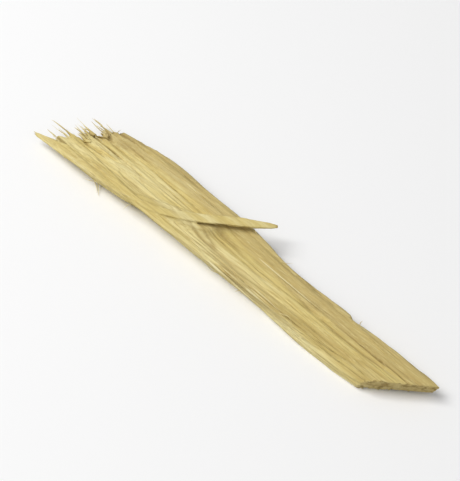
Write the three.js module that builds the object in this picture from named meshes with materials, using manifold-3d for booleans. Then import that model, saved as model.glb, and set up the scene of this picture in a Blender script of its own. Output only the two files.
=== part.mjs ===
// A licorice root chip: one splinter split lengthwise from a dried root, lying on its flat
// split underside. It is a single solid, because it grew as one piece.
//
// Millimetres, +Z up. +X runs along the grain from the torn end to the cut end, and +Y from
// the inner wood to the bark. The shapes below are laid out from the torn tip at x = 0 and
// the inner edge at y = 0, and the finished solid is then moved so that the origin is the
// middle of its box's bottom face.
import * as THREE from 'three';
import { mergeVertices } from 'three/addons/utils/BufferGeometryUtils.js';
import Module from 'manifold-3d';

const { smoothstep, lerp, degToRad } = THREE.MathUtils;
const wasm = await Module();
wasm.setup();

// ---- Driving dimensions ------------------------------------------------------------------

const LENGTH = 29.8; // torn tip to the farthest corner of the cut end
const WIDTH = 4.1; // inner edge to bark, at the widest section
const THICKNESS = 1.6; // at the thickest section

const WIDEST_X = 8; // the bark side runs nearly straight up to here, then closes in
const TAPER = 1.2; // width lost between WIDEST_X and TAPER_END_X
const TAPER_END_X = 23;
const HEEL_NARROWING = 0.45; // width lost at the torn end

const CUT_END_THICKNESS = 0.76; // share of THICKNESS left at the cut end
const TORN_END_THICKNESS = 0.62; // share of THICKNESS left at the torn end
const TORN_END_LIFT = 0.3; // how far the underside rises towards the torn tip
const CUT_END_LIFT = 0.18; // how far it rises towards the cut end
const EDGE_ROLL = 0.16; // how far the upper long edges are rounded down
const BARK_BULGE = 0.28; // how far the bark side rounds out between its two edges
const BULGE_FOOT = 0.15; // where on the bulge's half circle the bark side's foot lies
const BULGE_HEAD = 0.9; // and its head

const RIDGE = 0.05; // how far the top face's ridge stands over its mean, and its valley under
const RIDGE_PLACE = 0.28; // share of the width from the inner edge to the ridge
const ROLL_SHARE = 0.12; // share of the width that each rounded edge takes
const GRAIN_WAVE = 0.05; // how far the grown wood waves to either side
const GRAIN_WAVE_TURN = 0.9; // the wave's angle in radians for each millimetre of length

const TORN_LIFT_END_X = 6; // the underside is down on the surface between here
const CUT_LIFT_START_X = 25; // and here

const UNDERCUT = 0.85; // how far the top of the inner side overhangs its foot by the torn end
const UNDERCUT_X = 12; // the inner side turns upright between here
const UPRIGHT_X = 26; // and here

const SHOULDER_X = 23.4; // where the outer strip with the bark broke away
const SHOULDER_Y = 2.5; // the width left past it
const SHOULDER_RUN = 0.5; // the length over which the break steps in

const CUT_ANGLE = degToRad(37); // of the cut end, from the grain
const CUT_LEAN = degToRad(12); // of the cut face, from upright
const CUT_CORNER = new THREE.Vector3(26.5, 0, 0); // where the cut meets the inner edge

// The torn end, from the inner edge to the bark. Each tip of a torn strip is followed by the
// root of the notch beside it.
const TEAR = [
  [0.9, -0.6],
  [0.0, 0.24],
  [2.6, 0.72],
  [1.2, 0.88],
  [2.2, 1.3],
  [1.7, 1.56],
  [3.1, 1.86],
  [2.5, 2.3],
  [2.8, 2.75],
  [3.7, 3.0],
  [3.2, 3.32],
  [4.2, 3.7],
  [3.8, 4.9],
];
const TEAR_LEAN = 0.55; // how far the tear runs along the grain for each unit of height
const TEAR_LEVEL = 0.6; // the height at which the tear has the outline above

// The strand that has peeled off the top face. Its root runs with the grain, and its free end
// crosses the bark edge.
const STRAND_PATH = [
  [9.2, 0.3, -0.1],
  [11.0, 0.7, 0.04],
  [13.0, 1.75, 0.17],
  [15.0, 3.05, 0.3],
  [16.9, 4.3, 0.4],
]; // x, y and the height over the top face at the middle of the chip
const STRAND_WIDTH = 0.68;
const STRAND_THICKNESS = 0.26;
const STRAND_END = 0.3; // share of the width left at either end
const STRAND_BEVEL = 0.4; // share of the thickness that its upper edges lose

const WOOD_COLOUR = '#cdbc84';

// ---- Solids ------------------------------------------------------------------------------

/** A closed geometry as a solid that can be cut and joined. */
function solidOf(geometry) {
  geometry.deleteAttribute('normal');
  geometry.deleteAttribute('uv');
  const merged = mergeVertices(geometry);
  return new wasm.Manifold(
    new wasm.Mesh({
      numProp: 3,
      vertProperties: Float32Array.from(merged.attributes.position.array),
      triVerts: Uint32Array.from(merged.index.array),
    }),
  );
}

/** A solid as a geometry again. */
function geometryOf(solid) {
  const mesh = solid.getMesh();
  const geometry = new THREE.BufferGeometry();
  geometry.setAttribute('position', new THREE.BufferAttribute(mesh.vertProperties, mesh.numProp));
  geometry.setIndex(new THREE.BufferAttribute(mesh.triVerts, 1));
  geometry.computeVertexNormals();
  return geometry;
}

/** A box whose surface points, given as shares u, v, w of its three sides, go where place says. */
function shapedBox(stepsX, stepsY, stepsZ, place) {
  const geometry = new THREE.BoxGeometry(1, 1, 1, stepsX, stepsY, stepsZ);
  geometry.translate(0.5, 0.5, 0.5);
  const points = geometry.attributes.position;
  const point = new THREE.Vector3();
  for (let i = 0; i < points.count; i += 1) {
    point.fromBufferAttribute(points, i);
    place(point);
    points.setXYZ(i, point.x, point.y, point.z);
  }
  return solidOf(geometry);
}

// ---- The blank: the chip before its ends are torn and cut ----------------------------------

/** The bark side's distance from the inner edge. */
function barkEdge(x) {
  const heel = HEEL_NARROWING * (1 - smoothstep(x, 0, WIDEST_X));
  const wave = GRAIN_WAVE * Math.sin(x * GRAIN_WAVE_TURN);
  return WIDTH - BARK_BULGE - heel - TAPER * smoothstep(x, WIDEST_X, TAPER_END_X) + wave;
}

/** The chip's thickness along its length. */
function thickness(x) {
  const torn = (1 - TORN_END_THICKNESS) * (1 - smoothstep(x, 0, WIDEST_X));
  const cut = (1 - CUT_END_THICKNESS) * smoothstep(x, WIDEST_X, LENGTH);
  return THICKNESS * (1 - torn - cut);
}

/** How far the underside stands off the ground. */
function underside(x) {
  const torn = TORN_END_LIFT * (1 - smoothstep(x, 0, TORN_LIFT_END_X));
  const cut = CUT_END_LIFT * smoothstep(x, CUT_LIFT_START_X, LENGTH);
  return torn + cut;
}

/** The top face's height: a ridge by the inner edge, a shallow valley, and rounded edges. */
function topFace(x, v) {
  const ridge = RIDGE * Math.cos(2 * Math.PI * (v - RIDGE_PLACE));
  const wave = 0.4 * GRAIN_WAVE * Math.sin(x * 0.6 * GRAIN_WAVE_TURN);
  const innerRoll = 1 - smoothstep(v, 0, ROLL_SHARE);
  const barkRoll = smoothstep(v, 1 - ROLL_SHARE, 1);
  return thickness(x) - 1.4 * RIDGE + ridge + wave - EDGE_ROLL * (innerRoll + barkRoll);
}

/** The inner side's distance from the inner edge at the share w of its height. */
function innerSide(x, w) {
  const undercut = UNDERCUT * (1 - smoothstep(x, UNDERCUT_X, UPRIGHT_X));
  const wave = 0.8 * GRAIN_WAVE * Math.sin(x * 0.8 * GRAIN_WAVE_TURN + 1);
  return (1 - w) * undercut + wave;
}

const SPARE = 0.5; // how far the blank runs past each end before it is torn and cut

const blank = shapedBox(60, 10, 4, (point) => {
  const [u, v, w] = point.toArray();
  const x = lerp(-SPARE, LENGTH + SPARE, u);
  const outer = barkEdge(x) + BARK_BULGE * Math.sin(Math.PI * lerp(BULGE_FOOT, BULGE_HEAD, w));
  point.x = x;
  point.y = lerp(innerSide(x, w), outer, v);
  point.z = lerp(underside(x), topFace(x, v), w);
});

// ---- What is torn, broken and cut away -----------------------------------------------------

const REACH = 6; // how far the cutting shapes stand past the blank

/** An outline in plan, extruded through the blank from below it to above it. */
function throughCut(points) {
  const outline = new THREE.Shape(points.map(([x, y]) => new THREE.Vector2(x, y)));
  const geometry = new THREE.ExtrudeGeometry(outline, { depth: 2 * REACH, bevelEnabled: false });
  geometry.translate(0, 0, -REACH);
  return geometry;
}

/** What the tear at the root end took away. */
function tornEnd() {
  const startX = TEAR[0][0];
  const endX = TEAR.at(-1)[0];
  const outside = WIDTH + REACH;
  const round = [[endX, outside], [-REACH, outside], [-REACH, -REACH], [startX, -REACH]];
  const geometry = throughCut([...TEAR, ...round]);
  geometry.translate(0, 0, -TEAR_LEVEL);
  geometry.applyMatrix4(new THREE.Matrix4().makeShear(0, 0, 0, 0, TEAR_LEAN, 0));
  geometry.translate(0, 0, TEAR_LEVEL);
  return solidOf(geometry);
}

/** The outer strip, with the bark, that broke away past the shoulder. */
function brokenStrip() {
  return solidOf(
    throughCut([
      [SHOULDER_X, WIDTH + 1],
      [SHOULDER_X + 0.25 * SHOULDER_RUN, SHOULDER_Y + 0.3],
      [SHOULDER_X + SHOULDER_RUN, SHOULDER_Y],
      [LENGTH + REACH, SHOULDER_Y - 0.1],
      [LENGTH + REACH, WIDTH + 1],
    ]),
  );
}

/** The side of the slanted cut that was cut away. */
function knife() {
  const side = 8 * REACH;
  const geometry = new THREE.BoxGeometry(side, side, side);
  geometry.translate(0, -side / 2, 0);
  geometry.rotateX(CUT_LEAN);
  geometry.rotateZ(CUT_ANGLE);
  geometry.translate(...CUT_CORNER.toArray());
  return solidOf(geometry);
}

// ---- The peeled strand ---------------------------------------------------------------------

/** The strand that has lifted off the top face. */
function peeledStrand() {
  const heights = STRAND_PATH.map(([x, y, z]) => new THREE.Vector3(x, y, thickness(x) + z));
  const path = new THREE.CatmullRomCurve3(heights);
  const up = new THREE.Vector3(0, 0, 1);
  return shapedBox(16, 2, 1, (point) => {
    const [u, v, w] = point.toArray();
    const along = path.getTangentAt(u);
    const across = new THREE.Vector3().crossVectors(up, along).normalize();
    const narrow = lerp(STRAND_END, 1, Math.sqrt(Math.abs(Math.sin(Math.PI * u))));
    point.copy(path.getPointAt(u));
    point.addScaledVector(across, (v - 0.5) * STRAND_WIDTH * narrow);
    const bevel = 1 - STRAND_BEVEL * Math.abs(2 * v - 1) * w;
    point.z += (w - 0.5) * STRAND_THICKNESS * narrow * bevel;
  });
}

// ---- The chip ------------------------------------------------------------------------------

const solid = blank.subtract(tornEnd()).subtract(brokenStrip()).subtract(knife()).add(peeledStrand());
const geometry = geometryOf(solid);
geometry.computeBoundingBox();
const box = geometry.boundingBox;
const middle = box.getCenter(new THREE.Vector3());
geometry.translate(-middle.x, -middle.y, -box.min.z);

const material = new THREE.MeshStandardMaterial({ color: WOOD_COLOUR, roughness: 0.82, metalness: 0 });
const chip = new THREE.Mesh(geometry, material);
chip.name = 'root_chip';

const part = new THREE.Group();
part.add(chip);

export default part;
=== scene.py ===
"""Looks of a dried licorice root chip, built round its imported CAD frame.

The chip lies on its flat split underside. +X runs along the grain from the torn end to the
cut end, +Y from the inner wood to the bark, and +Z up. Lengths in the classes below are in
millimetres; the finished meshes are in metres.
"""

import logging
import math
from dataclasses import dataclass
from enum import Enum
from itertools import product

import bmesh
import bpy
import numpy as np
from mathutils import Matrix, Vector
from mathutils.bvhtree import BVHTree


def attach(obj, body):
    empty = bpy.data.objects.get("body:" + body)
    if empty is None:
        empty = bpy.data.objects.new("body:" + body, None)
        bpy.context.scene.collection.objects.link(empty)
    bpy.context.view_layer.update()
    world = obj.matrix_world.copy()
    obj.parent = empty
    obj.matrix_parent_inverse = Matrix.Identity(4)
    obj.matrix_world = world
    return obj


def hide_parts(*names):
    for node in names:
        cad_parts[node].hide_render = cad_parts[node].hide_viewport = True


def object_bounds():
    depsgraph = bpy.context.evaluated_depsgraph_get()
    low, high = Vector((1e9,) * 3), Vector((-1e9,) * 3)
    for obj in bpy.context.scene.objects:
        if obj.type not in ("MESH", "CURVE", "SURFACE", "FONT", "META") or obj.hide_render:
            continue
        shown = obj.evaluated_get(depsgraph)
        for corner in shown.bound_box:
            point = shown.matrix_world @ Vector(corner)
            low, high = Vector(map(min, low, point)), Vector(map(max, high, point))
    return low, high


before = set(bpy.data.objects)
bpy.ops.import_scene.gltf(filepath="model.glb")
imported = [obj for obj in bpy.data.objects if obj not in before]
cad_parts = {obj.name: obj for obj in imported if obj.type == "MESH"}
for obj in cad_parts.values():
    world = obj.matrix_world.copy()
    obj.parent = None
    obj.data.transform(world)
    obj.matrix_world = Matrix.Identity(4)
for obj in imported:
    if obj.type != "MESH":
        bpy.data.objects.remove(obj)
CAD_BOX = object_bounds()

LOG = logging.getLogger("root_chip")
MM = 0.001
Colour = tuple[float, float, float, float]
CHIP_NODE = "root_chip"
BODY = "root"
GRAIN_TURN = 0.065  # angle between the grain and the chip's inner edge, in radians


class Zone(Enum):
    """The vertex attributes that say what a spot of the chip is made of, each from 0 to 1."""

    BARK = "bark"
    INNER_BARK = "inner_bark"
    END_GRAIN = "end_grain"
    RELIEF = "relief"
    FRAY = "fray"
    EDGE = "edge"
    SLIVER = "sliver"


def ramp(values: np.ndarray, start: float, end: float) -> np.ndarray:
    """A smooth step.

    Args:
        values: What the step reads.
        start: Where it is 0.
        end: Where it is 1, on either side of start.

    Returns:
        The step at each value, from 0 to 1.
    """
    share = np.clip((values - start) / (end - start), 0.0, 1.0)
    return share * share * (3.0 - 2.0 * share)


@dataclass(frozen=True)
class GrainNoise:
    """Smooth, repeatable noise whose cells are stretched along the grain.

    Attributes:
        seed: Picks the pattern.
        along: Length of a cell along the grain.
        across: Width of a cell across the grain.
    """

    seed: int
    along: float
    across: float

    def at(self, points: np.ndarray) -> np.ndarray:
        """The noise at each point.

        Args:
            points: Rows of x, y and z, with x along the grain.

        Returns:
            One value a point, from -1 to 1.
        """
        cells = points / np.array([self.along, self.across, self.across])
        corner = np.floor(cells).astype(np.int64)
        share = cells - corner
        share = share * share * share * (share * (share * 6.0 - 15.0) + 10.0)
        total = np.zeros(len(points))
        for step in np.ndindex(2, 2, 2):
            weight = np.where(np.array(step) == 1, share, 1.0 - share).prod(axis=1)
            total += weight * self._corner_values(corner + step)
        return total

    def _corner_values(self, corners: np.ndarray) -> np.ndarray:
        """A fixed value for each corner of the cells.

        Args:
            corners: Rows of whole-numbered x, y and z.

        Returns:
            One value a corner, from -1 to 1.
        """
        x, y, z = corners.astype(np.uint64).T
        mixed = x * np.uint64(73856093) ^ y * np.uint64(19349663) ^ z * np.uint64(83492791)
        mixed ^= np.uint64(self.seed * 2654435761)
        for shift in (29, 32):
            mixed = (mixed ^ (mixed >> np.uint64(shift))) * np.uint64(0xBF58476D1CE4E5B9)
        mixed ^= mixed >> np.uint64(31)
        return (mixed >> np.uint64(40)).astype(float) / float(1 << 23) - 1.0


@dataclass
class ChipSurvey:
    """Where each spot of the resampled chip lies in the root it was split from.

    Attributes:
        points: Rows of x, y and z.
        normals: Rows of outward unit normals.
        freedom: How deep the relief may be at each spot, from 0 to 1: less on thin wood, and
            less where another face lies close in front.
        shoulder_x: Where the outer strip with the bark ends.
        torn_x: Where the torn end begins to thin out.
        strand_z: The height that only the peeled strand rises above.
        cut_normal: The outward normal of the cut end's face.
    """

    points: np.ndarray
    normals: np.ndarray
    freedom: np.ndarray
    shoulder_x: float = 8.3
    torn_x: float = -9.5
    strand_z: float = 1.45
    cut_normal: tuple[float, float, float] = (0.589, -0.781, -0.208)

    def __post_init__(self) -> None:
        """Finds the bark edge from the solid itself and the grain's own coordinates."""
        x, y, z = self.points.T
        along, across = math.cos(GRAIN_TURN), math.sin(GRAIN_TURN)
        self.grain = np.stack([x * along - y * across, x * across + y * along, z], axis=1)
        body = z < 0.6 * z.max()
        barked = body & (x > self.torn_x - 1.0) & (x < self.shoulder_x - 0.3)
        stations = np.linspace(self.torn_x - 1.0, self.shoulder_x - 0.3, 24)
        middles = (stations[1:] + stations[:-1]) / 2
        edge = [y[barked & (x >= a) & (x < b)].max() for a, b in zip(stations, stations[1:])]
        self.bark_fit = np.polynomial.Polynomial.fit(middles, edge, 4)
        self.last_station = middles[-1]

    def bark_edge(self, x: np.ndarray) -> np.ndarray:
        """The bark's outer edge in plan, carried on straight past the last of the bark."""
        inside = np.clip(x, -14.0, self.last_station)
        return self.bark_fit(inside) - 0.06 * np.maximum(x - self.last_station, 0.0)

    def depth(self) -> np.ndarray:
        """How far each spot lies inside the bark's outer edge."""
        return self.bark_edge(self.points[:, 0]) - self.points[:, 1]


@dataclass(frozen=True)
class DryingCrack:
    """A crack that opened along the grain as the root dried.

    Attributes:
        start_x: Where it is widest, at one of the chip's ends.
        end_x: Where it closes.
        side: Its place across the grain.
        width: Half its width at the start.
        depth: Its depth at the start.
    """

    start_x: float
    end_x: float
    side: float
    width: float = 0.05
    depth: float = 0.4

    def at(self, grain: np.ndarray, up: np.ndarray) -> np.ndarray:
        """The crack's depth at each spot.

        Args:
            grain: The spots in the grain's own coordinates.
            up: The upward share of each spot's normal.

        Returns:
            One depth a spot.
        """
        open_share = ramp(grain[:, 0], self.end_x, self.start_x)
        wander = 0.07 * GrainNoise(61, 2.5, 9.0).at(grain)
        aside = (grain[:, 1] - self.side - wander) / (self.width * (0.5 + 0.5 * open_share))
        return self.depth * open_share * np.exp(-aside * aside) * ramp(up, 0.3, 0.8)


@dataclass
class ChipRelief:
    """The fibres, steps, wrinkles and breaks that a split root shows on its surface.

    Attributes:
        survey: Where each spot lies.
        terrace: Height of one torn-off layer on the split faces.
        bundle: Depth of the coarse fibre bundles.
        fibre: Depth of the single fibres.
        groove: Depth of the open vessels.
        wrinkle: Depth of the bark's wrinkles.
        ravel: How far the torn fibres stand out along the grain.
        cracks: The drying cracks in the top face.
    """

    survey: ChipSurvey
    terrace: float = 0.13
    bundle: float = 0.075
    fibre: float = 0.06
    groove: float = 0.10
    wrinkle: float = 0.15
    ravel: float = 0.8
    cracks: tuple[DryingCrack, ...] = (
        DryingCrack(start_x=-13.0, end_x=-4.5, side=-0.55),
        DryingCrack(start_x=13.5, end_x=6.0, side=0.25, width=0.04, depth=0.3),
        DryingCrack(start_x=-11.5, end_x=-7.5, side=0.75, width=0.04, depth=0.3),
    )

    def zones(self) -> dict[Zone, np.ndarray]:
        """What each spot is made of.

        Returns:
            For each zone, one share a spot.
        """
        s = self.survey
        x, y, z = s.points.T
        patches = GrainNoise(11, 2.2, 0.5).at(s.points)
        depth = s.depth() + 0.09 * patches + 0.04 * GrainNoise(12, 0.5, 0.2).at(s.points)
        facing_out = ramp(s.normals[:, 1] + 0.25 * patches, 0.35, 0.7)
        facing_out *= ramp(s.normals[:, 2], 0.45, 0.2)
        broken = GrainNoise(13, 0.6, 0.3).at(s.points)
        kept = 1.0 - ramp(x + 0.5 * broken, s.shoulder_x, s.shoulder_x + 0.3)
        below_strand = ramp(z, s.strand_z + 0.1, s.strand_z)
        torn = ramp(-s.normals[:, 0], 0.35, 0.7) * ramp(x, s.torn_x, s.torn_x - 1.5)
        bark = ramp(depth, 0.5, 0.3) * facing_out * kept * below_strand * (1.0 - torn)
        inner_bark = ramp(depth, 1.25, 0.95) * (1.0 - bark) * below_strand
        cut = ramp(s.normals @ np.array(s.cut_normal), 0.80, 0.93) * ramp(x, 9.5, 10.5)
        side = np.abs(s.normals[:, 1])
        edges = ramp(side, 0.25, 0.5) * ramp(side, 0.98, 0.8) * (1.0 - cut)
        inside = ramp(y, -1.7, -1.4) * ramp(depth, 0.4, 0.7)
        facing_up = ramp(s.normals[:, 2], 0.5, 0.8)
        return {
            Zone.BARK: bark,
            Zone.INNER_BARK: inner_bark,
            Zone.END_GRAIN: np.maximum(cut, 0.6 * torn),
            Zone.FRAY: torn,
            Zone.EDGE: edges * ramp(np.abs(x), 12.5, 11.5) * (1.0 - inside),
            Zone.SLIVER: facing_up * ramp(np.abs(x), 7.0, 6.0) * ramp(depth, 0.6, 0.9),
        }

    def layers(self) -> np.ndarray:
        """Height of the layers that the split left standing on the wood.

        Returns:
            One height a spot, in whole layers apart from the breaks between them.
        """
        grain = self.survey.grain
        layers = 2.0 * GrainNoise(21, 26.0, 1.3).at(grain) + 0.7 * GrainNoise(22, 9.0, 0.45).at(grain)
        whole = np.floor(layers)
        return self.terrace * (whole + ramp(layers - whole, 0.82, 1.0))

    def fibres(self) -> np.ndarray:
        """Height of the split wood's bundles and fibres, less its open vessels.

        Returns:
            One height a spot.
        """
        grain = self.survey.grain
        bundles = GrainNoise(23, 9.0, 0.30).at(grain)
        fibres = GrainNoise(24, 5.0, 0.13).at(grain) + 0.6 * GrainNoise(25, 2.5, 0.075).at(grain)
        vessels = np.power(1.0 - np.abs(GrainNoise(26, 14.0, 0.34).at(grain)), 14)
        vessels *= ramp(GrainNoise(27, 6.0, 0.8).at(grain), -0.2, 0.3)
        return self.bundle * bundles + self.fibre * fibres - self.groove * vessels

    def bark_face(self) -> np.ndarray:
        """Height of the bark's relief over the smooth chip.

        Returns:
            One height a spot.
        """
        points = self.survey.points
        folds = 2.0 * np.sqrt(np.abs(GrainNoise(31, 3.2, 0.42).at(points))) - 1.0
        fine = GrainNoise(32, 0.9, 0.12).at(points)
        cracks = np.power(1.0 - np.abs(GrainNoise(33, 0.5, 1.6).at(points)), 10)
        return self.wrinkle * (folds + 0.3 * fine - 0.5 * cracks)

    def apply(self, zones: dict[Zone, np.ndarray]) -> np.ndarray:
        """Moves the chip's points to give it its relief.

        Args:
            zones: What each spot is made of. The height of the relief is added to it.

        Returns:
            The moved points.
        """
        s = self.survey
        share = zones[Zone.BARK]
        fine = self.fibres() * (1.0 - share) + self.bark_face() * share
        for crack in self.cracks:
            fine = fine - crack.at(s.grain, s.normals[:, 2])
        height = fine + self.layers() * (1.0 - share)
        ends = zones[Zone.END_GRAIN]
        moved = s.points + s.normals * (height * s.freedom * (1.0 - ends))[:, None]
        ravel = GrainNoise(41, 40.0, 0.16).at(s.points) + 0.6 * GrainNoise(42, 40.0, 0.07).at(s.points)
        moved[:, 0] -= self.ravel * zones[Zone.FRAY] * np.maximum(ravel, -0.15)
        pores = GrainNoise(43, 40.0, 0.13).at(s.grain) + 0.6 * GrainNoise(44, 40.0, 0.08).at(s.grain)
        pits = np.power(np.clip(1.3 * pores, 0.0, 1.0), 2)
        cut = ends * (1.0 - zones[Zone.FRAY])
        moved -= s.normals * (0.10 * cut * pits)[:, None]
        moved[:, 2] = np.maximum(moved[:, 2], 0.0)
        # The finish reads this share to paint shade in the hollows and highlight on the ridges.
        zones[Zone.RELIEF] = np.clip(0.5 + (fine - 0.9 * cut * pits) / 0.45, 0.0, 1.0)
        return moved


@dataclass(frozen=True)
class SplitRootFinish:
    """Dry split licorice root: straw wood, tan inner bark and grey-brown bark.

    Attributes:
        straw: The wood's main colour.
        pale: Its lightest bands, and the painted highlight on its raised fibres.
        tan: Its darker streaks.
        vessel_and_shade: The open vessels, and the painted shade in the grooves, drying cracks and pores.
        rim: The inner bark.
        bark: The bark's lighter colour, and the painted highlight on its raised folds.
        dark_bark_and_shade: The bark's darker patches, and the painted shade in the hollows between its
            folds.
    """

    straw: Colour = (0.67, 0.54, 0.20, 1.0)
    pale: Colour = (0.80, 0.70, 0.35, 1.0)
    tan: Colour = (0.47, 0.345, 0.12, 1.0)
    vessel_and_shade: Colour = (0.29, 0.19, 0.06, 1.0)
    rim: Colour = (0.50, 0.385, 0.16, 1.0)
    bark: Colour = (0.36, 0.28, 0.195, 1.0)
    dark_bark_and_shade: Colour = (0.14, 0.096, 0.060, 1.0)

    def build(self) -> bpy.types.Material:
        """Makes the finish.

        Returns:
            The node material.
        """
        material = bpy.data.materials.new("split_root")
        tree = NodeTree.of_material(material)
        streaks = tree.grain_noise(0.10, 1.3, detail=3.0)
        fibres = tree.grain_noise(0.35, 9.0, detail=4.0)
        vessels = tree.grain_noise(0.12, 5.5, detail=2.0)
        relief = tree.attribute(Zone.RELIEF)
        wood = tree.mix(tree.band(streaks, 0.38, 0.66), self.straw, self.pale)
        wood = tree.mix(tree.band(tree.grain_noise(0.07, 0.75, detail=2.0), 0.5, 0.66, 0.5), wood, self.tan)
        wood = tree.mix(tree.band(fibres, 0.52, 0.32, 0.45), wood, self.tan)
        wood = tree.mix(tree.band(vessels, 0.62, 0.72, 0.45), wood, self.vessel_and_shade)
        wood = tree.mix(tree.attribute(Zone.INNER_BARK, 0.6), wood, self.rim)
        # Painted shade: the wood is darkened where the relief is low, in the grooves, drying cracks and
        # pores.
        wood = tree.mix(tree.band(relief, 0.46, 0.1, 0.75), wood, self.vessel_and_shade)
        # Painted highlight: the wood is lightened where the relief is high, on the raised fibres and
        # ridges.
        wood = tree.mix(tree.band(relief, 0.6, 0.95, 0.35), wood, self.pale)
        wood = tree.mix(tree.attribute(Zone.END_GRAIN, 0.4), wood, self.tan)
        hair = tree.grain_noise(0.8, 22.0, detail=3.0)
        wood = tree.mix(tree.band(hair, 0.5, 0.34, 0.35), wood, self.tan)
        wood = tree.mix(tree.band(hair, 0.54, 0.68, 0.45), wood, self.pale)
        scales = tree.grain_noise(0.9, 2.4, detail=5.0)
        shell = tree.mix(tree.band(scales, 0.42, 0.62), self.dark_bark_and_shade, self.bark)
        # Painted shade: the bark is darkened where its relief is low, in the hollows between the wrinkles.
        shell = tree.mix(tree.band(relief, 0.5, 0.2), shell, self.dark_bark_and_shade)
        # Painted highlight: the bark is lightened where its relief is high, on the raised folds.
        shell = tree.mix(tree.band(relief, 0.6, 0.9, 0.6), shell, self.bark)
        colour = tree.mix(tree.attribute(Zone.BARK), wood, shell)
        shader = tree.shader(roughness=0.8, specular=0.25)
        tree.link(colour, shader.inputs["Base Color"])
        tree.link(tree.bump(hair, strength=0.8, distance=0.06 * MM), shader.inputs["Normal"])
        return material


@dataclass(frozen=True)
class LooseFibreFinish:
    """Thin dry fibres that have come away from the wood.

    Attributes:
        pale: The lightest fibres.
        dark: The darkest fibres.
    """

    pale: Colour = (0.80, 0.71, 0.40, 1.0)
    dark: Colour = (0.59, 0.475, 0.20, 1.0)

    def build(self) -> bpy.types.Material:
        """Makes the finish.

        Returns:
            The node material.
        """
        material = bpy.data.materials.new("loose_fibre")
        tree = NodeTree.of_material(material)
        patches = tree.grain_noise(0.6, 2.2, detail=2.0)
        colour = tree.mix(tree.band(patches, 0.35, 0.62), self.dark, self.pale)
        shader = tree.shader(roughness=0.7, specular=0.3)
        tree.link(colour, shader.inputs["Base Color"])
        hair = tree.grain_noise(1.5, 30.0, detail=2.0)
        tree.link(tree.bump(hair, strength=0.2, distance=0.02 * MM), shader.inputs["Normal"])
        return material


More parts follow.
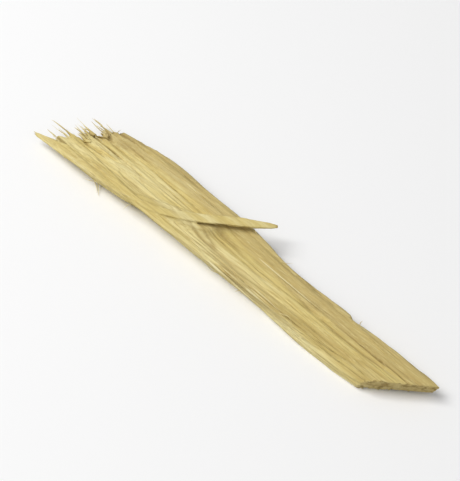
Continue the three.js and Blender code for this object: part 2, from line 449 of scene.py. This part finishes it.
@dataclass
class NodeTree:
    """A material's nodes, with short ways to make the patterns of a fibrous root.

    Attributes:
        tree: The node tree being built.
    """

    tree: bpy.types.NodeTree

    @classmethod
    def of_material(cls, material: bpy.types.Material) -> "NodeTree":
        """Empties the tree of a new material.

        Args:
            material: The material.

        Returns:
            Its tree, with no nodes.
        """
        material.use_nodes = True
        material.node_tree.nodes.clear()
        return cls(material.node_tree)

    def link(self, source: bpy.types.NodeSocket, target: bpy.types.NodeSocket) -> None:
        """Joins an output to an input."""
        self.tree.links.new(source, target)

    def grain_noise(self, along: float, across: float, detail: float) -> bpy.types.NodeSocket:
        """Noise stretched along the grain.

        Args:
            along: Cells a millimetre along the grain.
            across: Cells a millimetre across the grain.
            detail: Octaves of finer noise.

        Returns:
            The noise, from 0 to 1.
        """
        place = self.tree.nodes.new("ShaderNodeTexCoord")
        mapping = self.tree.nodes.new("ShaderNodeMapping")
        mapping.inputs["Rotation"].default_value = (0.0, 0.0, GRAIN_TURN)
        mapping.inputs["Scale"].default_value = (along / MM, across / MM, across / MM)
        noise = self.tree.nodes.new("ShaderNodeTexNoise")
        noise.inputs["Scale"].default_value = 1.0
        noise.inputs["Detail"].default_value = detail
        self.link(place.outputs["Object"], mapping.inputs["Vector"])
        self.link(mapping.outputs["Vector"], noise.inputs["Vector"])
        return noise.outputs["Fac"]

    def band(
        self, value: bpy.types.NodeSocket, start: float, end: float, most: float = 1.0
    ) -> bpy.types.NodeSocket:
        """A smooth step of a value.

        Args:
            value: What the step reads.
            start: Where it is 0.
            end: Where it reaches its most.
            most: The step's height.

        Returns:
            The step.
        """
        node = self.tree.nodes.new("ShaderNodeMapRange")
        node.interpolation_type = "SMOOTHSTEP"
        low, high = min(start, end), max(start, end)
        node.inputs["From Min"].default_value = low
        node.inputs["From Max"].default_value = high
        node.inputs["To Min"].default_value = 0.0 if start < end else most
        node.inputs["To Max"].default_value = most if start < end else 0.0
        self.link(value, node.inputs["Value"])
        return node.outputs["Result"]

    def attribute(self, zone: Zone, share: float = 1.0) -> bpy.types.NodeSocket:
        """A zone's vertex attribute.

        Args:
            zone: Which attribute.
            share: What it is multiplied by.

        Returns:
            The attribute's value.
        """
        node = self.tree.nodes.new("ShaderNodeAttribute")
        node.attribute_name = zone.value
        if share == 1.0:
            return node.outputs["Fac"]
        product = self.tree.nodes.new("ShaderNodeMath")
        product.operation = "MULTIPLY"
        product.inputs[1].default_value = share
        self.link(node.outputs["Fac"], product.inputs[0])
        return product.outputs["Value"]

    def mix(
        self,
        share: bpy.types.NodeSocket,
        first: bpy.types.NodeSocket | tuple[float, ...],
        second: bpy.types.NodeSocket | tuple[float, ...],
    ) -> bpy.types.NodeSocket:
        """Two colours mixed.

        Args:
            share: How much of the second shows.
            first: A colour or an output that gives one.
            second: A colour or an output that gives one.

        Returns:
            The mixed colour.
        """
        node = self.tree.nodes.new("ShaderNodeMix")
        node.data_type = "RGBA"
        self.link(share, node.inputs["Factor"])
        colour_inputs = [socket for socket in node.inputs if socket.type == "RGBA"]
        for socket, colour in zip(colour_inputs, (first, second)):
            if isinstance(colour, tuple):
                socket.default_value = colour
            else:
                self.link(colour, socket)
        return next(socket for socket in node.outputs if socket.type == "RGBA")

    def bump(
        self, height: bpy.types.NodeSocket, strength: float, distance: float
    ) -> bpy.types.NodeSocket:
        """A bump that follows a height.

        Args:
            height: What the bump follows, from 0 to 1.
            strength: How strongly it shows.
            distance: How high it stands, in metres.

        Returns:
            The bumped normal.
        """
        node = self.tree.nodes.new("ShaderNodeBump")
        node.inputs["Strength"].default_value = strength
        node.inputs["Distance"].default_value = distance
        self.link(height, node.inputs["Height"])
        return node.outputs["Normal"]

    def shader(self, roughness: float, specular: float) -> bpy.types.Node:
        """Adds the surface shader and joins it to the material's output.

        Args:
            roughness: The surface's roughness.
            specular: How strongly it mirrors.

        Returns:
            The shader node.
        """
        shader = self.tree.nodes.new("ShaderNodeBsdfPrincipled")
        shader.inputs["Roughness"].default_value = roughness
        shader.inputs["Specular IOR Level"].default_value = specular
        output = self.tree.nodes.new("ShaderNodeOutputMaterial")
        self.link(shader.outputs["BSDF"], output.inputs["Surface"])
        return shader


@dataclass(frozen=True)
class MeshLinks:
    """Which points of a mesh are joined by an edge.

    Attributes:
        first: One end of each edge.
        second: The other end.
        counts: How many edges meet at each point.
    """

    first: np.ndarray
    second: np.ndarray
    counts: np.ndarray

    @classmethod
    def of_mesh(cls, mesh: bpy.types.Mesh) -> "MeshLinks":
        """Reads the links of a mesh.

        Args:
            mesh: The mesh.

        Returns:
            Its links.
        """
        ends = np.empty(len(mesh.edges) * 2, dtype=np.int32)
        mesh.edges.foreach_get("vertices", ends)
        first, second = ends.reshape(-1, 2).T
        return cls(first, second, np.bincount(ends, minlength=len(mesh.vertices)))

    def average(self, values: np.ndarray) -> np.ndarray:
        """The mean of each point's neighbours.

        Args:
            values: One value a point.

        Returns:
            One mean a point.
        """
        size = len(values)
        total = np.bincount(self.first, values[self.second], size)
        total += np.bincount(self.second, values[self.first], size)
        return total / self.counts


@dataclass
class ChipBody:
    """The chip's own solid with its real surface.

    Attributes:
        voxel: Size of a resampling cell across the grain.
        squeeze: How much the chip is shortened while it is resampled, so that cells are long.
        full_wood: Thickness of wood that takes the whole relief.
        full_air: Free space in front of a face that takes the whole relief.
        least_freedom: Share of the relief that the thinnest wood takes.
        smoothings: Passes that even out the relief's depth.
        strand_root: The line, in plan, along which the peeled strand leaves the top face.
        easing_reach: How far from that line the crease is rounded off.
        easings: Passes that round it off.
    """

    voxel: float = 0.036
    squeeze: float = 0.25
    full_wood: float = 1.1
    full_air: float = 0.8
    least_freedom: float = 0.1
    smoothings: int = 12
    strand_root: tuple[tuple[float, float], ...] = ((-5.6, -1.85), (-1.6, -0.3))
    easing_reach: float = 0.8
    easings: int = 12

    def build(self, node: bpy.types.Object, material: bpy.types.Material) -> bpy.types.Object:
        """Makes the chip.

        Args:
            node: The CAD node that the chip follows.
            material: The chip's finish.

        Returns:
            The finished object.
        """
        chip = self._resampled(node)
        mesh = chip.data
        links = MeshLinks.of_mesh(mesh)
        self._ease_strand_root(mesh, links)
        points, normals = self._points(mesh), self._normals(mesh)
        freedom = self._freedom(mesh, links, points, normals)
        survey = ChipSurvey(points, normals, freedom)
        relief = ChipRelief(survey)
        zones = relief.zones()
        moved = relief.apply(zones)
        mesh.vertices.foreach_set("co", (moved * MM).astype(np.float32).ravel())
        for zone, shares in zones.items():
            layer = mesh.attributes.new(zone.value, "FLOAT", "POINT")
            layer.data.foreach_set("value", shares.astype(np.float32))
        mesh.polygons.foreach_set("use_smooth", np.ones(len(mesh.polygons), dtype=bool))
        mesh.update()
        mesh.materials.append(material)
        return chip

    def _resampled(self, node: bpy.types.Object) -> bpy.types.Object:
        """The node's solid in small even cells that are long along the grain.

        Args:
            node: The CAD node. Its mesh is only read.

        Returns:
            A new object.
        """
        source = bmesh.new()
        source.from_mesh(node.data)
        bmesh.ops.remove_doubles(source, verts=source.verts, dist=1e-7)
        bmesh.ops.scale(source, vec=(self.squeeze / MM, 1.0 / MM, 1.0 / MM), verts=source.verts)
        mesh = bpy.data.meshes.new("chip_blank")
        source.to_mesh(mesh)
        source.free()
        blank = bpy.data.objects.new("chip_blank", mesh)
        bpy.context.scene.collection.objects.link(blank)
        cells = blank.modifiers.new("cells", "REMESH")
        cells.mode = "VOXEL"
        cells.voxel_size = self.voxel
        evaluated = blank.evaluated_get(bpy.context.evaluated_depsgraph_get())
        fine = bpy.data.meshes.new_from_object(evaluated)
        fine.name = "chip"
        bpy.data.objects.remove(blank)
        chip = bpy.data.objects.new("licorice_root_chip", fine)
        bpy.context.scene.collection.objects.link(chip)
        points = np.empty(len(fine.vertices) * 3, dtype=np.float32)
        fine.vertices.foreach_get("co", points)
        points = points.reshape(-1, 3) * np.array([MM / self.squeeze, MM, MM], dtype=np.float32)
        fine.vertices.foreach_set("co", points.ravel())
        fine.update()
        return chip

    def _ease_strand_root(self, mesh: bpy.types.Mesh, links: "MeshLinks") -> None:
        """Rounds off the crease where the peeled strand leaves the top face.

        Args:
            mesh: The resampled chip, whose points move.
            links: Which of its points are joined.
        """
        points = self._points(mesh)
        pull = self._by_strand_root(points)
        for _ in range(self.easings):
            middles = np.stack([links.average(column) for column in points.T], axis=1)
            points += (middles - points) * (0.5 * pull)[:, None]
        mesh.vertices.foreach_set("co", (points * MM).astype(np.float32).ravel())
        mesh.update()

    def _by_strand_root(self, points: np.ndarray) -> np.ndarray:
        """How near each point is to the strand's root.

        Args:
            points: Rows of x, y and z.

        Returns:
            One share a point, 1 on the root's line and 0 out of its reach.
        """
        start, end = np.array(self.strand_root)
        run = end - start
        share = np.clip((points[:, :2] - start) @ run / (run @ run), 0.0, 1.0)
        aside = np.linalg.norm(points[:, :2] - start - share[:, None] * run, axis=1)
        return ramp(aside, self.easing_reach, 0.5 * self.easing_reach) * ramp(points[:, 2], 0.6, 0.9)

    def _freedom(
        self, mesh: bpy.types.Mesh, links: "MeshLinks", points: np.ndarray, normals: np.ndarray
    ) -> np.ndarray:
        """How deep the relief may be at each point of the mesh.

        Args:
            mesh: The resampled chip.
            links: Which of its points are joined.
            points: Its points, in millimetres.
            normals: Its outward normals.

        Returns:
            One share a point, from 0 to 1.
        """
        source = bmesh.new()
        source.from_mesh(mesh)
        surface = BVHTree.FromBMesh(source)
        source.free()
        wood = self._reach(surface, points, -normals)
        air = self._reach(surface, points, normals)
        share = np.minimum(wood / self.full_wood, air / self.full_air)
        share = np.clip(share * (1.0 - self._by_strand_root(points)), self.least_freedom, 1.0)
        for _ in range(self.smoothings):
            share = np.minimum(share, links.average(share))
        return share

    @staticmethod
    def _reach(surface: BVHTree, points: np.ndarray, ways: np.ndarray) -> np.ndarray:
        """How far each point sees along its own way before it meets the surface.

        Args:
            surface: The chip's surface.
            points: Rows of x, y and z.
            ways: One unit vector a point.

        Returns:
            One distance a point, or a large one where nothing is met.
        """
        start = 0.01
        far = 9.0
        reach = np.full(len(points), far)
        for i, (point, way) in enumerate(zip(points, ways)):
            ahead = Vector(way)
            hit = surface.ray_cast(Vector(point * MM) + ahead * start * MM, ahead)
            if hit[3] is not None:
                reach[i] = hit[3] / MM
        return reach

    @staticmethod
    def _points(mesh: bpy.types.Mesh) -> np.ndarray:
        """The mesh's points.

        Args:
            mesh: The mesh, in metres.

        Returns:
            Rows of x, y and z, in millimetres.
        """
        points = np.empty(len(mesh.vertices) * 3, dtype=np.float32)
        mesh.vertices.foreach_get("co", points)
        return points.reshape(-1, 3).astype(float) / MM

    @staticmethod
    def _normals(mesh: bpy.types.Mesh) -> np.ndarray:
        """The mesh's outward normals at its points.

        Args:
            mesh: The mesh.

        Returns:
            Rows of unit vectors.
        """
        normals = np.empty(len(mesh.vertices) * 3, dtype=np.float32)
        mesh.vertex_normals.foreach_get("vector", normals)
        return normals.reshape(-1, 3).astype(float)


@dataclass(frozen=True)
class FringeSizes:
    """How one kind of loose fibre grows.

    Attributes:
        density: Fibres a square millimetre where their zone is full.
        length: The longest fibre.
        radius: Half the thickest fibre's width.
        flatness: A fibre's thickness as a share of its width.
        splay: How far fibres turn from the grain towards the open.
        curl: How far a fibre's tip wanders.
        seed: Picks the fibres.
    """

    density: float
    length: float
    radius: float
    flatness: float
    splay: float
    curl: float
    seed: int


class FringeKind(Enum):
    """The kinds of loose fibre, by the zone that each grows on."""

    BRISTLES = Zone.FRAY
    WHISKERS = Zone.EDGE
    SLIVERS = Zone.SLIVER


FRINGES = {
    FringeKind.BRISTLES: FringeSizes(
        density=10.0, length=1.5, radius=0.085, flatness=0.45, splay=0.09, curl=0.6, seed=3
    ),
    FringeKind.WHISKERS: FringeSizes(
        density=0.5, length=2.6, radius=0.05, flatness=0.7, splay=0.45, curl=3.0, seed=21
    ),
    FringeKind.SLIVERS: FringeSizes(
        density=0.3, length=6.5, radius=0.15, flatness=0.4, splay=0.04, curl=0.3, seed=8
    ),
}


@dataclass
class FibreFringe:
    """Loose fibres that still hang on at one end, grown by Geometry Nodes.

    Attributes:
        kind: Which zone they grow on.
        sizes: How they grow.
    """

    kind: FringeKind
    sizes: FringeSizes

    def build(self, chip: bpy.types.Object, material: bpy.types.Material) -> bpy.types.Object:
        """Grows the fibres on the chip.

        Args:
            chip: The finished chip, with its zones as attributes.
            material: The fibres' finish.

        Returns:
            The fibres as one plain mesh object.
        """
        grower = bpy.data.objects.new("fringe_grower", chip.data)
        bpy.context.scene.collection.objects.link(grower)
        tree = self._tree(material)
        modifier = grower.modifiers.new("fringe", "NODES")
        modifier.node_group = tree
        sizes = self.sizes
        wanted = {
            "Zone": self.kind.value.value,
            "Density": sizes.density / MM**2,
            "Length": sizes.length * MM,
            "Radius": sizes.radius * MM,
            "Flatness": sizes.flatness,
            "Splay": sizes.splay,
            "Curl": sizes.curl * MM,
            "Seed": sizes.seed,
        }
        for item in tree.interface.items_tree:
            if item.item_type == "SOCKET" and item.in_out == "INPUT" and item.name in wanted:
                modifier[item.identifier] = wanted[item.name]
        evaluated = grower.evaluated_get(bpy.context.evaluated_depsgraph_get())
        name = f"loose_{self.kind.name.lower()}"
        mesh = bpy.data.meshes.new_from_object(evaluated)
        mesh.name = name
        bpy.data.objects.remove(grower)
        fibres = bpy.data.objects.new(name, mesh)
        bpy.context.scene.collection.objects.link(fibres)
        return fibres

    def _tree(self, material: bpy.types.Material) -> bpy.types.NodeTree:
        """Builds the Geometry Nodes tree that grows the fibres.

        Args:
            material: The fibres' finish.

        Returns:
            The tree.
        """
        tree = bpy.data.node_groups.new("fibre_fringe", "GeometryNodeTree")
        tree.interface.new_socket("Geometry", in_out="INPUT", socket_type="NodeSocketGeometry")
        tree.interface.new_socket("Zone", in_out="INPUT", socket_type="NodeSocketString")
        for name in ("Density", "Length", "Radius", "Flatness", "Splay", "Curl"):
            tree.interface.new_socket(name, in_out="INPUT", socket_type="NodeSocketFloat")
        tree.interface.new_socket("Seed", in_out="INPUT", socket_type="NodeSocketInt")
        tree.interface.new_socket("Geometry", in_out="OUTPUT", socket_type="NodeSocketGeometry")
        make = GeometryMaker(tree)
        given = make.node("NodeGroupInput").outputs
        zone = make.node("GeometryNodeInputNamedAttribute", Name=given["Zone"])
        scattered = make.node(
            "GeometryNodeDistributePointsOnFaces",
            Mesh=given["Geometry"],
            Density=make.maths("MULTIPLY", given["Density"], zone.outputs["Attribute"]),
            Seed=given["Seed"],
        )
        inwards = make.maths("MULTIPLY", given["Radius"], -0.7)
        sunk = make.node(
            "GeometryNodeSetPosition",
            Geometry=scattered.outputs["Points"],
            Offset=make.vector("SCALE", scattered.outputs["Normal"], inwards),
        )
        fray = make.node("GeometryNodeInputNamedAttribute", Name=Zone.FRAY.value)
        torn_pull = make.maths("MULTIPLY", fray.outputs["Attribute"], 3.0)
        heading = make.maths("SIGN", make.maths("SUBTRACT", make.random(-1.0, 1.0, 1), torn_pull))
        sideways = make.maths("MULTIPLY", heading, -GRAIN_TURN)
        along = make.node("ShaderNodeCombineXYZ", X=heading, Y=sideways).outputs["Vector"]
        outward = make.vector("SCALE", scattered.outputs["Normal"], make.random(0.3, 1.0, 2))
        astray = make.vector("SCALE", make.random_vector(3), 0.35)
        outward = make.vector("SCALE", make.vector("ADD", outward, astray), given["Splay"])
        towards = make.vector("ADD", along, outward)
        turn = make.node("FunctionNodeAlignRotationToVector", {"axis": "X"}, Vector=towards)
        line = make.node("GeometryNodeCurvePrimitiveLine", End=(1.0, 0.0, 0.0))
        stepped = make.node("GeometryNodeResampleCurve", Curve=line.outputs["Curve"], Count=9)
        share = make.maths("POWER", make.random(0.25, 1.0, 4), 1.6)
        placed = make.node(
            "GeometryNodeInstanceOnPoints",
            Points=sunk.outputs["Geometry"],
            Instance=stepped.outputs["Curve"],
            Rotation=turn.outputs["Rotation"],
            Scale=make.maths("MULTIPLY", given["Length"], share),
        )
        marked = make.node(
            "GeometryNodeStoreNamedAttribute",
            {"domain": "INSTANCE"},
            Geometry=placed.outputs["Instances"],
            Name="mark",
            Value=make.random(0.0, 1.0, 5),
        )
        real = make.node("GeometryNodeRealizeInstances", Geometry=marked.outputs["Geometry"])
        mark = make.node("GeometryNodeInputNamedAttribute", Name="mark").outputs["Attribute"]
        share_along = make.node("GeometryNodeSplineParameter").outputs["Factor"]
        wander = make.node(
            "ShaderNodeTexNoise",
            {"noise_dimensions": "4D"},
            Scale=450.0,
            Detail=1.0,
            W=make.maths("MULTIPLY", mark, 40.0),
        )
        centred = make.vector("SUBTRACT", wander.outputs["Color"], (0.5, 0.5, 0.5))
        bend = make.maths("MULTIPLY", make.maths("POWER", share_along, 1.5), given["Curl"])
        curled = make.node(
            "GeometryNodeSetPosition",
            Geometry=real.outputs["Geometry"],
            Offset=make.vector("SCALE", centred, bend),
        )
        place = make.node("GeometryNodeInputPosition").outputs["Position"]
        sides = make.node("ShaderNodeSeparateXYZ", Vector=place).outputs
        lifted = make.maths("MAXIMUM", sides["Z"], given["Radius"])
        over_ground = make.node("ShaderNodeCombineXYZ", X=sides["X"], Y=sides["Y"], Z=lifted)
        laid = make.node(
            "GeometryNodeSetPosition",
            Geometry=curled.outputs["Geometry"],
            Position=over_ground.outputs["Vector"],
        )
        level = {"mode": "Z_UP"}
        upright = make.node("GeometryNodeSetCurveNormal", level, Curve=laid.outputs["Geometry"])
        ring = make.node("GeometryNodeCurvePrimitiveCircle", Resolution=6, Radius=given["Radius"])
        flat = make.node("ShaderNodeCombineXYZ", X=given["Flatness"], Y=1.0, Z=1.0)
        section = make.node(
            "GeometryNodeTransform", Geometry=ring.outputs["Curve"], Scale=flat.outputs["Vector"]
        )
        from_root = make.maths("MINIMUM", make.maths("MULTIPLY", share_along, 4.0), 1.0)
        swelling = make.maths("POWER", from_root, 0.6)
        lost = make.maths("MULTIPLY", make.maths("POWER", share_along, 2.0), 0.85)
        thinning = make.maths("SUBTRACT", 1.0, lost)
        taper = make.maths("MAXIMUM", make.maths("MULTIPLY", swelling, thinning), 0.06)
        stout = make.maths("ADD", 0.35, make.maths("MULTIPLY", mark, 0.65))
        tube = make.node(
            "GeometryNodeCurveToMesh",
            **{"Profile Curve": section.outputs["Geometry"], "Fill Caps": True},
            Curve=upright.outputs["Curve"],
            Scale=make.maths("MULTIPLY", taper, stout),
        )
        smooth = make.node("GeometryNodeSetShadeSmooth", Geometry=tube.outputs["Mesh"])
        whole = make.node("GeometryNodeRealizeInstances", Geometry=smooth.outputs["Geometry"])
        dressed = make.node(
            "GeometryNodeSetMaterial", Geometry=whole.outputs["Geometry"], Material=material
        )
        make.node("NodeGroupOutput", Geometry=dressed.outputs["Geometry"])
        return tree


@dataclass
class GeometryMaker:
    """Short ways to add Geometry Nodes.

    Attributes:
        tree: The node tree being built.
    """

    tree: bpy.types.NodeTree

    def node(self, kind: str, setup: dict[str, str] | None = None, **inputs: object) -> bpy.types.Node:
        """Adds a node.

        Args:
            kind: The node's type.
            setup: The node's own options.
            inputs: By socket name, an output to join or a value to set.

        Returns:
            The node.
        """
        node = self.tree.nodes.new(kind)
        for option, choice in (setup or {}).items():
            setattr(node, option, choice)
        for name, value in inputs.items():
            self._give(node.inputs[name], value)
        return node

    def maths(self, operation: str, *values: object) -> bpy.types.NodeSocket:
        """Adds a Math node.

        Args:
            operation: What it does.
            values: The outputs or numbers that it works on.

        Returns:
            Its result.
        """
        node = self.tree.nodes.new("ShaderNodeMath")
        node.operation = operation
        for socket, value in zip(node.inputs, values):
            self._give(socket, value)
        return node.outputs["Value"]

    def vector(self, operation: str, first: object, second: object) -> bpy.types.NodeSocket:
        """Adds a Vector Math node.

        Args:
            operation: What it does.
            first: A vector or an output that gives one.
            second: Another, or a number for SCALE.

        Returns:
            Its result.
        """
        node = self.tree.nodes.new("ShaderNodeVectorMath")
        node.operation = operation
        self._give(node.inputs[0], first)
        self._give(node.inputs["Scale"] if operation == "SCALE" else node.inputs[1], second)
        return node.outputs["Vector"]

    def random(self, low: float, high: float, seed: int) -> bpy.types.NodeSocket:
        """A random number for each element.

        Args:
            low: The least number.
            high: The greatest.
            seed: Picks the numbers.

        Returns:
            The number.
        """
        node = self.tree.nodes.new("FunctionNodeRandomValue")
        numbers = [socket for socket in node.inputs if socket.type == "VALUE"]
        numbers[0].default_value, numbers[1].default_value = low, high
        node.inputs["Seed"].default_value = seed
        return next(socket for socket in node.outputs if socket.type == "VALUE")

    def random_vector(self, seed: int) -> bpy.types.NodeSocket:
        """A random vector for each element, with each side from -1 to 1.

        Args:
            seed: Picks the vectors.

        Returns:
            The vector.
        """
        node = self.tree.nodes.new("FunctionNodeRandomValue")
        node.data_type = "FLOAT_VECTOR"
        corners = [socket for socket in node.inputs if socket.type == "VECTOR"]
        corners[0].default_value, corners[1].default_value = (-1.0,) * 3, (1.0,) * 3
        node.inputs["Seed"].default_value = seed
        return next(socket for socket in node.outputs if socket.type == "VECTOR")

    def _give(self, socket: bpy.types.NodeSocket, value: object) -> None:
        """Joins an output to an input, or sets the input's value.

        Args:
            socket: The input.
            value: The output or the value.
        """
        if isinstance(value, bpy.types.NodeSocket):
            self.tree.links.new(value, socket)
        else:
            socket.default_value = value


@dataclass
class Studio:
    """Floor, lights and camera.

    Attributes:
        azimuth: The camera's turn round the chip, in degrees.
        elevation: Its height over the horizon, in degrees.
        lens: Its focal length.
        fill: Share of the picture's width that the chip takes.
        picture: The picture's width and height.
    """

    azimuth: float = 43.0
    elevation: float = 52.0
    lens: float = 90.0
    fill: float = 0.93
    picture: tuple[int, int] = (460, 481)

    def build(self) -> None:
        """Sets up the whole studio."""
        self._floor()
        self._lights()
        self._camera()
        settings = bpy.context.scene.view_settings
        settings.view_transform = "Standard"
        settings.look = "None"

    def _floor(self) -> None:
        """A wide pale sheet under the chip."""
        half = 0.8
        corners = [(-half, -half), (half, -half), (half, half), (-half, half)]
        mesh = bpy.data.meshes.new("floor")
        mesh.from_pydata([(x, y, 0.0) for x, y in corners], [], [(0, 1, 2, 3)])
        floor = bpy.data.objects.new("floor", mesh)
        bpy.context.scene.collection.objects.link(floor)
        material = bpy.data.materials.new("pale_floor")
        shader = NodeTree.of_material(material).shader(roughness=0.9, specular=0.2)
        shader.inputs["Base Color"].default_value = (0.9, 0.9, 0.9, 1.0)
        mesh.materials.append(material)

    def _lights(self) -> None:
        """A large soft key from above and behind on the left, a weak fill, and an even sky."""
        self._area_light("key", azimuth=-60.0, elevation=58.0, reach=0.25, size=0.14, power=0.52)
        self._area_light("fill", azimuth=60.0, elevation=50.0, reach=0.3, size=0.3, power=0.12)
        world = bpy.data.worlds.new("studio")
        bpy.context.scene.world = world
        world.use_nodes = True
        world.node_tree.nodes.clear()
        sky = world.node_tree.nodes.new("ShaderNodeBackground")
        sky.inputs["Color"].default_value = (1.0, 1.0, 1.0, 1.0)
        sky.inputs["Strength"].default_value = 0.3
        output = world.node_tree.nodes.new("ShaderNodeOutputWorld")
        world.node_tree.links.new(sky.outputs["Background"], output.inputs["Surface"])

    @staticmethod
    def _direction(azimuth: float, elevation: float) -> Vector:
        """The direction from the chip at an azimuth and an elevation in degrees."""
        a, e = math.radians(azimuth), math.radians(elevation)
        return Vector((math.sin(a) * math.cos(e), -math.cos(a) * math.cos(e), math.sin(e)))

    def _area_light(
        self, name: str, azimuth: float, elevation: float, reach: float, size: float, power: float
    ) -> None:
        """A square lamp that faces the chip.

        Args:
            name: The lamp's name.
            azimuth: Its turn round the chip, in degrees.
            elevation: Its height over the horizon, in degrees.
            reach: Its distance in metres.
            size: Its side in metres.
            power: Its power in watts.
        """
        data = bpy.data.lights.new(name, "AREA")
        data.size = size
        data.energy = power
        lamp = bpy.data.objects.new(name, data)
        towards = self._direction(azimuth, elevation)
        lamp.location = towards * reach
        lamp.rotation_euler = (-towards).to_track_quat("-Z", "Y").to_euler()
        bpy.context.scene.collection.objects.link(lamp)

    def _camera(self) -> None:
        """A camera that looks down on the chip along the studio's viewing angle."""
        low, high = CAD_BOX
        centre = (low + high) / 2
        back = self._direction(self.azimuth, self.elevation)
        data = bpy.data.cameras.new("camera")
        data.lens = self.lens
        data.sensor_width = 36.0
        camera = bpy.data.objects.new("camera", data)
        turn = (-back).to_track_quat("-Z", "Y")
        right = turn @ Vector((1.0, 0.0, 0.0))
        up = turn @ Vector((0.0, 1.0, 0.0))
        corners = [Vector(corner) - centre for corner in product(*zip(low, high))]
        width = max(c.dot(right) for c in corners) - min(c.dot(right) for c in corners)
        height = max(c.dot(up) for c in corners) - min(c.dot(up) for c in corners)
        aspect = self.picture[0] / self.picture[1]
        frame_width = max(width, height * aspect) / self.fill
        sensor = data.sensor_width * aspect
        distance = frame_width * data.lens / sensor
        camera.location = centre + back * distance
        camera.rotation_euler = turn.to_euler()
        data.clip_start, data.clip_end = distance * 0.05, distance * 40
        bpy.context.scene.collection.objects.link(camera)
        bpy.context.scene.camera = camera


def main() -> None:
    """Builds the chip and the studio, and reports each piece."""
    logging.basicConfig(level=logging.INFO, format="%(name)s: %(message)s")
    finish = SplitRootFinish().build()
    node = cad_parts[CHIP_NODE]
    chip = ChipBody().build(node, finish)
    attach(chip, BODY)
    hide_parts(CHIP_NODE)
    LOG.info("chip: %d faces", len(chip.data.polygons))
    fibre_finish = LooseFibreFinish().build()
    for kind, sizes in FRINGES.items():
        fibres = FibreFringe(kind, sizes).build(chip, fibre_finish)
        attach(fibres, BODY)
        LOG.info("%s: %d faces", fibres.name, len(fibres.data.polygons))
    Studio().build()
    LOG.info("studio: floor, lights and camera")


if __name__ == "__main__":
    main()
